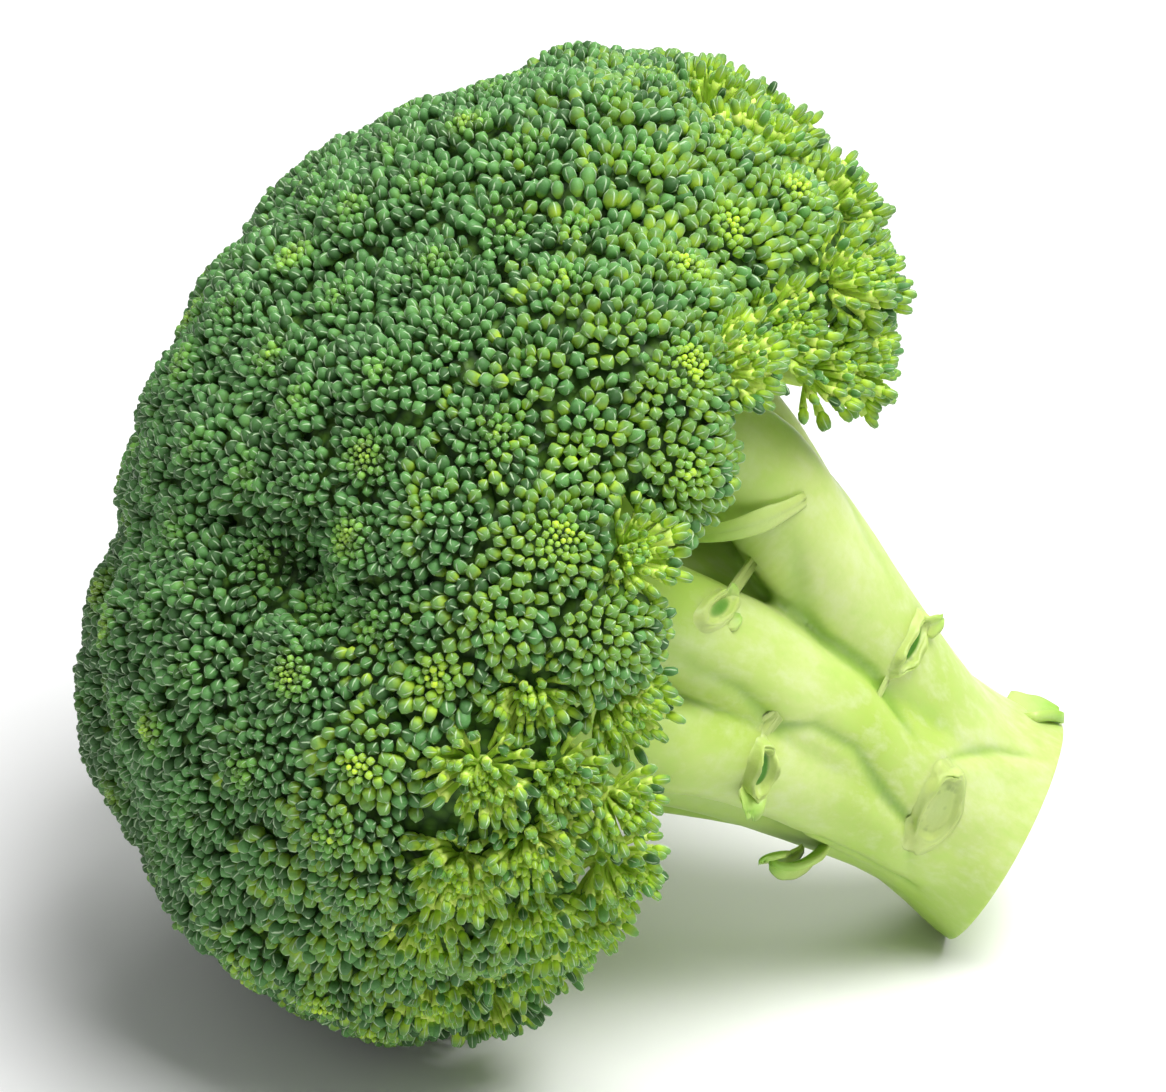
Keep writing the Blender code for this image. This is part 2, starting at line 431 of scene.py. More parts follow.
def stalkSkin():
    made = skinMaker("stalkSkin")
    where = made.add("TexCoord").outputs["Object"]
    grain = made.mark("grain", "Vector")
    fibre = made.noise(grain, 9.0, 5.0, 0.62)
    patches = made.noise(where, 38.0, 2.0)
    mottle = made.noise(where, 420.0, 4.0, 0.6)
    colour = made.over(stalkLooks["pale"], patches, [(0.36, 0.0), (0.64, 1.0)], stalkLooks["bright"])
    colour = made.over(colour, fibre, [(0.48, 0.0), (0.75, 0.55)], stalkLooks["blush"])
    colour = made.over(colour, fibre, [(0.25, 0.5), (0.48, 0.0)], rgb(0.40, 0.62, 0.09))
    colour = made.over(colour, mottle, [(0.5, 0.0), (0.85, 0.22)], rgb(0.50, 0.68, 0.18))
    # deeper green towards the underside of the stalk: painted shade
    upright = made.add("SeparateXYZ", {"Vector": grain}).outputs["X"]
    below = made.math("MULTIPLY_ADD", upright, -0.5, 0.5)
    colour = made.over(colour, below, [(0.5, 0.0), (0.95, 0.6)], stalkLooks["below"])
    # painted shade: darker green in the hollows and grooves of the skin
    creaseShade = made.mark("creaseShade")
    colour = made.over(colour, creaseShade, [(0.04, 0.0), (0.5, 0.42), (1.0, 0.7)], stalkLooks["shadeAndDeepGreen"])
    # towards the crown the skin is greener and darker: partly its own greener colour near the buds, partly
    # painted shade under the crown
    deep = made.mark("deep")
    colour = made.mix(deep, colour, stalkLooks["shadeAndDeepGreen"])
    rough = made.ramp(mottle, [(0.2, 0.30), (0.8, 0.46)])
    height = made.math("ADD", made.times(fibre, 0.7), made.times(mottle, 0.3))
    made.shader.inputs["Specular IOR Level"].default_value = 0.45
    return made.finish(colour, rough, made.bump(height, 0.22, 0.0004), 0.25, (0.0030, 0.0045, 0.0012))


cutLooks = {
    "skin": rgb(0.36, 0.56, 0.12),
    "fibre": rgb(0.62, 0.76, 0.32),
    "pith": rgb(0.80, 0.86, 0.52),
    "core": rgb(0.86, 0.89, 0.62),
}


def cutSkin():
    # green skin, a ring of fibre bundles, pale wet pith
    made = skinMaker("cutSkin")
    where = made.add("TexCoord").outputs["Object"]
    ring = made.mark("ring")
    wobble = made.noise(where, 160.0, 3.0)
    ring = made.math("ADD", ring, made.times(made.math("SUBTRACT", wobble, 0.5), 0.07))
    colour = made.ramp(ring, [
        (0.15, cutLooks["core"]),
        (0.70, cutLooks["pith"]),
        (0.84, cutLooks["fibre"]),
        (0.90, cutLooks["pith"]),
        (0.98, cutLooks["skin"]),
    ])
    bundles = made.add("TexVoronoi", {"Vector": where, "Scale": 520.0}).outputs["Distance"]
    dots = made.times(made.ramp(bundles, [(0.12, 1.0), (0.34, 0.0)]),
                     made.ramp(ring, [(0.66, 0.0), (0.80, 0.75), (0.92, 0.0)]))
    colour = made.mix(dots, colour, rgb(0.44, 0.62, 0.18))
    cells = made.noise(where, 900.0, 4.0, 0.65)
    colour = made.over(colour, cells, [(0.4, 0.0), (0.8, 0.3)], rgb(0.92, 0.94, 0.74))
    colour = made.over(colour, wobble, [(0.5, 0.0), (0.8, 0.25)], rgb(0.66, 0.66, 0.34))
    rough = made.ramp(cells, [(0.2, 0.26), (0.8, 0.5)])
    height = made.math("ADD", cells, made.times(bundles, 0.5))
    return made.finish(colour, rough, made.bump(height, 0.45, 0.0004), 0.25, (0.0030, 0.0045, 0.0012))


leafLooks = {
    "base": rgb(0.48, 0.62, 0.16),
    "tip": rgb(0.24, 0.50, 0.04),
    "slit": rgb(0.06, 0.24, 0.012),
    "scar": rgb(0.58, 0.74, 0.26),
}


def leafSkin():
    # "tip" runs from the root to the torn end, "slit" marks what is sunk in, which is painted dark as shade
    made = skinMaker("leafSkin")
    where = made.add("TexCoord").outputs["Object"]
    tip = made.mark("tip")
    slit = made.mark("slit")
    patches = made.noise(where, 240.0, 3.0)
    fine = made.noise(where, 1300.0, 4.0, 0.65)
    colour = made.mix(made.ramp(tip, [(0.15, 0.0), (1.0, 0.9)]), leafLooks["base"], leafLooks["tip"])
    colour = made.over(colour, patches, [(0.4, 0.0), (0.75, 0.4)], leafLooks["scar"])
    spots = made.add("TexVoronoi", {"Vector": where, "Scale": 640.0}).outputs["Distance"]
    spotted = made.times(made.ramp(spots, [(0.2, 1.0), (0.42, 0.0)]),
                        made.ramp(slit, [(0.1, 0.0), (0.4, 0.7), (0.6, 0.7), (0.9, 0.2)]))
    colour = made.mix(spotted, colour, rgb(0.30, 0.42, 0.10))
    # painted shade: the slit nearly black green
    colour = made.over(colour, slit, [(0.45, 0.0), (0.95, 1.0)], leafLooks["slit"])
    rough = made.ramp(fine, [(0.2, 0.34), (0.8, 0.56)])
    return made.finish(colour, rough, made.bump(fine, 0.35, 0.0003), 0.2, (0.0020, 0.0032, 0.0008))


budMaterial = budSkin()
pedicelMaterial = pedicelSkin()
cushionMaterial = cushionSkin()
stalkMaterial = stalkSkin()
cutMaterial = cutSkin()
leafMaterial = leafSkin()
print("materials made")


clusters = {
    "spacing": 11.6 * mm,
    "tries": 26000,
    "settle": 0.9 * mm,  # clusters stand this much higher or lower than the crown
    # degrees round the crown, degrees from its axis: where the last clusters stand
    "lastPolar": [
        (0, 127), (30, 120), (60, 113), (180, 112), (215, 117), (255, 117),
        (280, 106), (300, 99), (320, 99), (338, 114), (350, 125), (360, 127),
    ],
    "loosePolar": 94.0,  # beyond this a cluster opens out on bare stems
    "reach": 12.0 * mm,
    "rise": 2.1 * mm,
    "stemDepth": 12.5 * mm,
    "smallBud": 0.80 * mm,
    "largeBud": 2.28 * mm,
    "seamed": 1.15 * mm,  # wider buds show their sepals
    "room": 0.98,  # for one bud, in shares of its own square
    "overlap": 0.4 * mm,  # how far a cluster reaches into the next
    "most": 140,  # buds in one cluster
    # degrees round the crown where the buds get the most painted shade underneath, and over how many that
    # fades
    "shadeTurn": 184,
    "shadeWidth": 40,
}


def lastPolar(turn):
    turns, polars = zip(*clusters["lastPolar"])
    return float(np.interp(turn, turns, polars))


def shadeSide(point):
    # one underneath, nought from the sides up: how much painted shade a cluster's buds get, and how much rarer
    # loose clusters are there
    return math.exp(-(((turnOf(point) - clusters["shadeTurn"]) / clusters["shadeWidth"]) ** 2))


def planClusters():
    random.seed(11)
    plan = []
    centres = np.empty((0, 3))
    for number in range(clusters["tries"]):
        height = random.uniform(-0.55, 1)
        angle = random.uniform(0, 2 * math.pi)
        level = math.sqrt(1 - height * height)
        way = crownAxis * height + (crownUp * math.cos(angle) + crownSide * math.sin(angle)) * level
        if metFrom(packedTree, way)[0] is None:
            continue
        point, normal = onCrown(way)
        if polarOf(point) > lastPolar(turnOf(point)) or normal.dot(way) < 0.2:
            continue
        gap = clusters["spacing"] * random.uniform(0.94, 1.12)
        if len(centres) and np.min(np.linalg.norm(centres - np.array(point), axis=1)) < gap:
            continue
        centres = np.vstack([centres, point])
        outward = (normal + way * 0.8).normalized()
        polar = polarOf(point)
        shaded = shadeSide(point)
        loose = polar > clusters["loosePolar"] + 15 * shaded + random.uniform(-8, 8)
        youth = random.random() * (1.0 if polar > 72 else 2.2)
        lift = random.uniform(-1, 1) * clusters["settle"]
        plan.append({
            "at": point + outward * lift, "out": outward, "owner": ownerOf(point), "polar": polar,
            "loose": loose, "youth": youth, "shaded": shaded, "spin": random.uniform(0, 6.28),
            "lift": lift, "bulk": random.uniform(0.86, 1.12),
        })
    return plan, centres


clusterPlan, clusterCentres = planClusters()
# packed clusters spread some way under their loose neighbours
clusterWeights = np.array([1.7 if cluster["loose"] else 1.0 for cluster in clusterPlan])
print("clusters:", len(clusterPlan), "loose:", sum(c["loose"] for c in clusterPlan))


def budShape(sides, bands, tip):
    # an ovoid of four sepals, foot at the origin, tip at z = 1, one bud wide
    bm = bmesh.new()
    first = bands[0]
    bmesh.ops.create_circle(bm, cap_ends=True, segments=sides, radius=first[1] / 2)
    bmesh.ops.translate(bm, vec=(0, 0, first[0]), verts=bm.verts)
    end = bm.faces[:]
    for number, (height, width) in enumerate(bands[1:], start=1):
        end = bmesh.ops.extrude_discrete_faces(bm, faces=end)["faces"]
        verts = end[0].verts[:]
        scale = width / bands[number - 1][1]
        bmesh.ops.scale(bm, vec=(scale, scale, 1), verts=verts)
        bmesh.ops.translate(bm, vec=(0, 0, height - bands[number - 1][0]), verts=verts)
    top = bmesh.ops.poke(bm, faces=end)["verts"]
    bmesh.ops.translate(bm, vec=(0, 0, tip - bands[-1][0]), verts=top)
    closeOver(bm, [vert for vert in bm.verts if vert.co.z < first[0] + 1e-6])
    if sides == 8:
        seams = [v for v in bm.verts if round(math.atan2(v.co.y, v.co.x) / (math.pi / 4)) % 2 == 1]
        seams = [v for v in seams if v.co.xy.length > 0.01 and v.co.z > 0.2]
        bmesh.ops.scale(bm, vec=(0.86, 0.86, 0.975), verts=seams)
    bmesh.ops.recalc_face_normals(bm, faces=bm.faces)
    for face in bm.faces:
        face.smooth = True
    unwrap = bm.loops.layers.uv.new("OFBake")
    for face in bm.faces:
        turns = [math.atan2(loop.vert.co.y, loop.vert.co.x) / (2 * math.pi) % 1 for loop in face.loops]
        middle = face.calc_center_median()
        home = math.atan2(middle.y, middle.x) / (2 * math.pi) % 1
        for loop, turn in zip(face.loops, turns):
            if loop.vert.co.xy.length < 0.01 or len(face.loops) > 4:
                turn = home
            if turn - home > 0.5:
                turn -= 1
            if home - turn > 0.5:
                turn += 1
            loop[unwrap].uv = (turn, loop.vert.co.z)
    return meshFrom(bm, "budShape")


grownShape = budShape(8, [(0.0, 0.42), (0.36, 0.97), (0.72, 0.95), (0.95, 0.58)], 1.0)
smallShape = budShape(6, [(0.0, 0.6), (0.5, 1.0), (0.88, 0.6)], 1.0)


class meshStamp:
    # presses copies of one small mesh into a bigger one
    def __init__(self, mesh):
        self.mesh = mesh
        self.rest = pointsOf(mesh).ravel()
        self.uv = np.zeros(len(mesh.loops) * 2, np.float32)
        if mesh.uv_layers:
            mesh.uv_layers[0].uv.foreach_get("vector", self.uv)
        self.uv = self.uv.reshape(-1, 2)

    def press(self, bm, matrix):
        self.mesh.vertices.foreach_set("co", self.rest)
        self.mesh.transform(matrix)
        bm.from_mesh(self.mesh)


grownStamp = meshStamp(grownShape)
smallStamp = meshStamp(smallShape)


def budTile(stamp, age, variant):
    column = min(budTiles - 1, max(0, int(age * budTiles)))
    row = min(budTiles - 1, max(0, int(variant * budTiles)))
    inside = np.clip(stamp.uv, 0.004, 0.996) * 0.94 + 0.03
    return (inside + (column, row)) / budTiles


def sideways(out):
    first = out.orthogonal().normalized()
    return first, out.cross(first)


def budMatrix(foot, way, width, length, spin):
    size = Matrix.Diagonal((width, width, length, 1))
    return Matrix.Translation(foot) @ turnTo(way) @ Matrix.Rotation(spin, 4, "Z") @ size


def sunnySide(cluster):
    # clusters near the rim are lighter and yellower; underneath, less so, as painted shade
    return min(1.0, max(0.0, (cluster["polar"] - 66) / 24)) * (1 - 0.75 * cluster["shaded"])


def greenVariant(cluster):
    # the lowest variants are the darkest, and 0.6 and more are sunny; clusters underneath get only the darkest
    # ones, as painted shade
    return random.random() * 0.6 * (1 - 0.75 * cluster["shaded"])


def packedBuds(number, cluster):
    # a tight dome of buds in a sunflower spiral, smallest in the middle
    out, at = cluster["out"], cluster["at"]
    first, second = sideways(out)
    stem = at - out * clusters["stemDepth"]
    radius = 0.0
    reach = clusters["reach"]
    youth = cluster["youth"]
    heart = 0.0 if youth < 0.35 else 0.25 + 0.55 * random.random()
    buds = []
    for index in range(clusters["most"]):
        share = radius / reach
        if share > 1:
            break
        age = heart + (1 - heart) * min(1, share * 2.1) ** 1.2 + random.uniform(-0.08, 0.06)
        age = min(1.0, max(0.0, age))
        size = clusters["smallBud"] + (clusters["largeBud"] - clusters["smallBud"]) * age**0.8
        size *= random.uniform(0.86, 1.1) * cluster["bulk"]
        angle = index * goldenTurn + cluster["spin"]
        flat = (first * math.cos(angle) + second * math.sin(angle)) * radius
        near = at + flat
        radius = math.sqrt(radius * radius + clusters["room"] * size * size / math.pi)
        apart = clusterCentres - np.array(near)
        distances = np.sum(apart * apart, axis=1) * clusterWeights
        if distances[number] > distances.min() + 1e-9 and np.argmin(distances) != number:
            if math.sqrt(distances[number]) - math.sqrt(distances.min()) > clusters["overlap"]:
                continue
        hit = onCrown((near - crownMiddle).normalized())
        rise = clusters["rise"] * (0.55 - 1.1 * share * share)
        length = size * (1.02 + 0.26 * age)
        tip = hit[0] + out * (rise + cluster["lift"] + random.uniform(-0.45, 0.45) * mm)
        way = (tip - stem).normalized()
        way = (way + Vector((random.gauss(0, 0.12) for _ in range(3)))).normalized()
        foot = tip - way * length
        variant = greenVariant(cluster)
        if random.random() < sunnySide(cluster) * 0.8:
            variant = random.uniform(0.6, 0.99)
        buds.append((foot, way, size, length, age, variant))
    return buds


def bentStem(bend):
    # one long, turning from z towards x; returns the mesh, where it ends and where it then points
    points = [Vector()]
    for step in range(6):
        turn = math.radians(bend) * (step + 0.5) / 6
        points.append(points[-1] + Vector((math.sin(turn), 0, math.cos(turn))) / 6)
    bm = bmesh.new()
    tubeAlong(bm, points, [0.075, 0.062, 0.056, 0.056, 0.060, 0.072, 0.098], 6)
    turn = math.radians(bend)
    facing = Vector((math.sin(turn), 0, math.cos(turn)))
    return meshStamp(meshFrom(bm, "stem", smooth=True)), points[-1], facing


umbels = {
    "shortest": 6.8 * mm,
    "longest": 8.8 * mm,
    "sunk": 6.0 * mm,
    "widest": 86.0,  # degrees that the outermost buds lean
    "room": 1.45,  # for one bud, in the middle and further out
    "moreRoom": 2.3,
    "largeBud": 1.66 * mm,
    "most": 90,
}
bentStems = [bentStem(bend) for bend in (6, 26, 46)]


def looseBuds(cluster):
    # an open umbel: young buds low in the middle, older ones round them on stems that bend upwards
    out, at = cluster["out"], cluster["at"]
    first, second = sideways(out)
    stemLength = random.uniform(umbels["shortest"], umbels["longest"])
    hub = at - out * umbels["sunk"]
    squash = random.uniform(0.85, 1.15)
    small = clusters["smallBud"]
    buds, stems = [], []
    lean = 0.0
    for index in range(umbels["most"]):
        share = lean / math.radians(umbels["widest"])
        if share > 1:
            break
        age = min(1.0, max(0.0, min(1, share * 1.6) ** 1.1 + random.uniform(-0.12, 0.08)))
        size = (small + (umbels["largeBud"] - small) * age) * random.uniform(0.88, 1.1)
        angle = index * goldenTurn + cluster["spin"] + random.uniform(-0.15, 0.15)
        around = first * math.cos(angle) * squash + second * math.sin(angle) / squash
        turn = lean * 1.15 + random.uniform(-0.12, 0.12)
        way = (out * math.cos(turn) + around * math.sin(turn)).normalized()
        room = umbels["room"] + umbels["moreRoom"] * share
        lean = math.sqrt(lean * lean + room * (size / stemLength) ** 2 / math.pi)
        towards = out - way * out.dot(way)
        towards = towards.normalized() if towards.length > 0.05 else around.normalized()
        across = way.cross(towards)
        reach = stemLength * (0.66 + 0.34 * min(1, share * 1.7)) * random.uniform(0.86, 1.1)
        bent = 0
        if share >= 0.2:
            bent = random.choice((0, 1, 1, 2) if share < 0.6 else (1, 2, 2))
        stamp, end, facing = bentStems[bent]
        frameTurn = Matrix((towards, across, way)).transposed()
        place = Matrix.Translation(hub) @ frameTurn.to_4x4() @ Matrix.Scale(reach, 4)
        facing = (frameTurn @ facing).normalized()
        foot = place @ end - facing * size * 0.12
        length = size * (1.3 + 0.55 * age)
        # fewer yellow buds underneath, and darker ones instead: painted shade
        if random.random() < 0.88 - 0.74 * cluster["shaded"]:
            variant = random.uniform(0.62, 0.99)
        else:
            variant = greenVariant(cluster)
        buds.append((foot, facing, size, length, age, variant))
        stems.append((stamp, place))
    return buds, stems


def linkGrown(bm, name, material):
    # some florets have no packed or no loose clusters, and so nothing here
    if len(bm.verts):
        linkPiece(name, meshFrom(bm, name, smooth=True), [], material)
    else:
        bm.free()


def buildBuds():
    random.seed(23)
    groups = {name: [] for name in floretNames}
    for number, cluster in enumerate(clusterPlan):
        groups[cluster["owner"]].append((number, cluster))
    total = 0
    for name in floretNames:
        bm = bmesh.new()
        bm.loops.layers.uv.new("OFBake")
        stems = bmesh.new()
        unwraps = []
        for number, cluster in groups[name]:
            if cluster["loose"]:
                buds, bent = looseBuds(cluster)
                for stamp, place in bent:
                    stamp.press(stems, place)
            else:
                buds = packedBuds(number, cluster)
            for foot, way, size, length, age, variant in buds:
                stamp = grownStamp if size > clusters["seamed"] else smallStamp
                stamp.press(bm, budMatrix(foot, way, size, length, random.uniform(0, 6.28)))
                unwraps.append(budTile(stamp, age, variant))
                total += 1
        mesh = meshFrom(bm, "buds_" + name)
        unwrap = np.concatenate(unwraps).astype(np.float32).ravel()
        mesh.uv_layers["OFBake"].uv.foreach_set("vector", unwrap)
        linkPiece(name.replace("floret", "buds"), mesh, [name], budMaterial)
        linkGrown(stems, name.replace("floret", "pedicels"), pedicelMaterial)
    print("buds:", total)


buildBuds()


under = {
    "depth": 4.2 * mm,
    "bumps": 0.9 * mm,
    "thick": 2.5 * mm,
    "short": 7.0,  # degrees that the flesh ends before the last clusters
    "bare": 2.4 * mm,  # the least depth of any flesh
    # the flesh that holds one cluster: its depth, half width and half height
    "looseHolder": (6.4 * mm, 3.0 * mm, 2.2 * mm),
    "packedHolder": (4.6 * mm, 8.8 * mm, 3.3 * mm),
}


def buildUnderCrown():
    # the close flesh below the buds, which shows in the gaps
    bm = bmesh.new()
    bmesh.ops.create_icosphere(bm, subdivisions=6, radius=1)
    beyond = []
    for vert in bm.verts:
        way = vert.co.normalized()
        point = onCrown(way)[0]
        if polarOf(point) > lastPolar(turnOf(point)) - under["short"]:
            beyond.append(vert)
        bumpy = noise.noise(point * 260) * under["bumps"]
        vert.co = point - way * (under["depth"] + bumpy)
    bmesh.ops.delete(bm, geom=beyond, context="VERTS")
    bmesh.ops.solidify(bm, geom=bm.faces[:], thickness=under["thick"])
    linkGrown(bm, "under_crown", cushionMaterial)


buildUnderCrown()

branchlets = {"baseRadius": 3.4 * mm, "topRadius": 2.0 * mm, "spread": 1.5, "sides": 8, "steps": 7}


def buildUndergrowth():
    random.seed(31)
    for name in floretNames:
        cushions = bmesh.new()
        twigs = bmesh.new()
        branchName = name.replace("floret", "branch")
        root = nodeMiddle(branchName)
        middle = nodeMiddle(name)
        for cluster in clusterPlan:
            if cluster["owner"] != name:
                continue
            at, out = cluster["at"], cluster["out"]
            depth, wide, tall = under["looseHolder"] if cluster["loose"] else under["packedHolder"]
            place = Matrix.Translation(at - out * depth) @ turnTo(out)
            place = place @ Matrix.Diagonal((wide, wide, tall, 1))
            holder = twigs if cluster["loose"] else cushions
            ball = bmesh.ops.create_uvsphere(
                holder, u_segments=14, v_segments=9, radius=1, matrix=place)
            for vert in ball["verts"]:
                # nothing of the flesh stands out between the buds
                way = (vert.co - crownMiddle).normalized()
                most = (onCrown(way)[0] - crownMiddle).length - under["bare"]
                vert.co = crownMiddle + way * min(most, (vert.co - crownMiddle).length)
            top = at - out * (depth + tall * 0.5)
            low = root.lerp(middle, 0.1)
            bend = top - out * (top - low).length * 0.4
            line = bezier(low, low.lerp(middle, 0.4), bend, top, branchlets["steps"])
            count = len(line) - 1
            thinner = (branchlets["topRadius"] - branchlets["baseRadius"]) / count
            radii = [branchlets["baseRadius"] + thinner * i for i in range(count + 1)]
            radii[-1] *= branchlets["spread"]
            tubeAlong(twigs, line, radii, branchlets["sides"])
        linkGrown(cushions, name.replace("floret", "cushions"), cushionMaterial)
        linkGrown(twigs, name.replace("floret", "branchlets"), pedicelMaterial)
    print("undergrowth made")


buildUndergrowth()


stalk = {
    "forkBack": 22.0 * mm,  # behind the crown's middle
    "cutRadius": 17.2 * mm,
    "cutFlare": 2.6 * mm,
    "forkRadius": 20.5 * mm,
    "riseAtCut": -38.0,
    "turnAtCut": 15.0,
    "voxel": 0.8 * mm,
    # rings of the cut face: share of its radius, and millimetres that it sinks from the last one
    "cutRings": [
        (0.975, -0.15), (0.94, 0.25), (0.88, 0.35), (0.78, 0.1), (0.62, -0.1), (0.42, 0.1), (0.2, 0.15),
    ],
    "grainStep": 36,  # millimetres along the stalk for one step of the grain
    "grooveShade": 0.55,
    "hollowSteps": 30,
    "hollowDepth": 1.3 * mm,
}

# main branches: degrees round the crown, distance off its axis and behind its middle, radius (all in
# millimetres), and the share of the stalk's length at which it leaves
limbs = [
    (338, 35, 27, 10.6, 0.24),
    (291, 28, 22, 10.0, 0.14),
    (252, 27, 33, 9.4, 0.18),
    (206, 26, 24, 8.6, 0.30),
    (172, 32, 25, 9.6, 0.30),
    (130, 32, 26, 9.0, 0.36),
    (88, 33, 26, 9.8, 0.30),
    (44, 34, 27, 9.2, 0.34),
]


def cutPlane():
    # the largest flat face of the stalk node that looks away from the crown
    mesh = nodes["stalk"].data
    groups = {}
    for face in mesh.polygons:
        if face.normal.dot(crownAxis) < -0.6:
            key = tuple(round(value * 50) for value in face.normal)
            area, total, _ = groups.get(key, (0.0, Vector(), None))
            groups[key] = (area + face.area, total + face.center * face.area, face.normal.copy())
    area, total, normal = max(groups.values(), key=lambda group: group[0])
    return total / area, normal


cutMiddle, cutNormal = cutPlane()


def slope(rise, turn):
    rise, turn = math.radians(rise), math.radians(turn)
    return Vector((math.cos(rise) * math.cos(turn), math.cos(rise) * math.sin(turn), math.sin(rise)))


def stalkLine(steps):
    fork = crownMiddle - crownAxis * stalk["forkBack"]
    reach = (fork - cutMiddle).length / 3
    before = cutMiddle - slope(stalk["riseAtCut"], stalk["turnAtCut"]) * reach
    return bezier(cutMiddle, before, fork - crownAxis * reach, fork, steps)


def radial(turn):
    turn = math.radians(turn)
    return crownUp * math.cos(turn) + crownSide * math.sin(turn)


lineSteps = 60
centreLine = stalkLine(lineSteps)
lineLengths = [0.0]
for start, end in zip(centreLine, centreLine[1:]):
    lineLengths.append(lineLengths[-1] + (end - start).length)


def lineAt(share):
    place = share * lineSteps
    index = min(lineSteps - 1, int(place))
    return centreLine[index].lerp(centreLine[index + 1], place - index)


def aheadAt(index):
    return (centreLine[min(lineSteps, index + 1)] - centreLine[max(0, index - 1)]).normalized()


def stalkGrain(co):
    # for every point: cosine and sine of its turn round the stalk, and its place along it
    line = np.array([list(point) for point in centreLine])
    index = np.zeros(len(co), int)
    nearest = np.full(len(co), np.inf)
    for number, spot in enumerate(line):
        apart = np.sum((co - spot) ** 2, axis=1)
        closer = apart < nearest
        index[closer] = number
        nearest[closer] = apart[closer]
    ahead = np.array([list(aheadAt(number)) for number in range(lineSteps + 1)])[index]
    off = co - line[index]
    beyond = np.sum(off * ahead, axis=1)
    off -= ahead * beyond[:, None]
    upper = np.array(crownUp) - ahead * (ahead @ np.array(crownUp))[:, None]
    upper /= np.linalg.norm(upper, axis=1)[:, None]
    side = np.cross(ahead, upper)
    turn = np.arctan2(np.sum(off * side, axis=1), np.sum(off * upper, axis=1))
    along = np.array(lineLengths)[index] + beyond
    return np.column_stack([np.cos(turn), np.sin(turn), along / mm / stalk["grainStep"]])


def limbLine(limb):
    turn, off, back, thick, leave = limb
    out = radial(turn)
    thick = thick * mm
    low = lineAt(leave * 0.3) + out * (stalk["cutRadius"] - thick * 1.02)
    start = lineAt(leave) + out * (stalk["cutRadius"] - thick * 0.82)
    gate = crownMiddle - crownAxis * back * mm + out * off * mm
    tip = crownMiddle - crownAxis * (back - 22) * mm + out * (off + 7) * mm
    beside = start.lerp(lineAt(min(1, leave + 0.3)) + out * 15 * mm, 0.8)
    rising = bezier(start, beside, gate + crownAxis * -12 * mm - out * 7 * mm, gate, 8)
    return [low] + rising + [tip]


# grooves on the skin between neighbouring branches and round the leaf scar: depth of the groove and
# height of the swelling beside it in millimetres, then millimetres up the stalk and degrees round it
creases = [
    (0.8, 0.7, [(72, 327), (63, 317), (57, 312), (48, 311), (39, 301), (33, 297)]),
    (0.8, 0.9, [(79, 287), (72, 282), (66, 282), (57, 276), (53, 282), (45, 282), (35, 272), (28, 267),
                (17, 238)]),
    (0.6, 0.6, [(42, 222), (38, 238), (28, 236), (19, 230), (10, 226)]),
    (0.45, 0.8, [(30, 278), (30, 293), (28, 303), (20, 321), (9, 335)]),
    (0.4, 0.4, [(76, 352), (68, 346), (60, 338), (52, 336)]),
    (0.7, 0.6, [(70, 20), (58, 14), (44, 20), (30, 10)]),
    (0.8, 0.7, [(72, 64), (60, 68), (46, 62), (32, 66), (20, 58)]),
    (0.7, 0.6, [(72, 108), (58, 104), (42, 110), (26, 104)]),
    (0.8, 0.7, [(72, 150), (56, 152), (40, 146), (24, 150), (12, 144)]),
    (0.7, 0.6, [(70, 190), (54, 186), (38, 192), (22, 186)]),
    (0.4, 0.8, [(34, 80), (31, 92), (26, 104), (16, 112)]),
]


def pressCreases(co, normals, grain):
    # how far each point moves along its normal, and how much it lies in a groove
    along = grain[:, 2] * stalk["grainStep"]
    turn = np.degrees(np.arctan2(grain[:, 1], grain[:, 0]))
    move = np.zeros(len(co))
    inside = np.zeros(len(co))
    around = stalk["cutRadius"] / mm * math.pi / 180
    for deep, swell, line in creases:
        line = np.array(line, float)
        nearest = np.full(len(co), np.inf)
        sideOf = np.zeros(len(co))
        fade = np.ones(len(co))
        steps = np.hypot(np.diff(line[:, 0]), np.diff(line[:, 1]) * around)
        lengths = np.concatenate([[0], np.cumsum(steps)])
        for number, (start, end) in enumerate(zip(line, line[1:])):
            across = ((turn - start[1] + 180) % 360 - 180) * around
            up = along - start[0]
            stepUp, stepAcross = end[0] - start[0], (end[1] - start[1]) * around
            length = math.hypot(stepUp, stepAcross)
            share = np.clip((up * stepUp + across * stepAcross) / length**2, 0, 1)
            offUp, offAcross = up - share * stepUp, across - share * stepAcross
            apart = np.hypot(offUp, offAcross)
            closer = apart < nearest
            nearest[closer] = apart[closer]
            sideOf[closer] = np.sign(stepUp * across - stepAcross * up)[closer]
            place = (lengths[number] + share * length) / lengths[-1]
            fade[closer] = np.clip(np.minimum(place, 1 - place) * 5, 0, 1)[closer]
        groove = np.exp(-((nearest / 0.75) ** 2)) * fade
        swelling = np.exp(-(((nearest - 2.6) / 2.2) ** 2)) * fade * np.where(sideOf > 0, 1.0, 0.45)
        move += (0.7 * swell * swelling - 0.75 * deep * groove) * mm
        inside = np.maximum(inside, groove * deep)
    return co + normals * move[:, None], np.clip(inside, 0, 1)


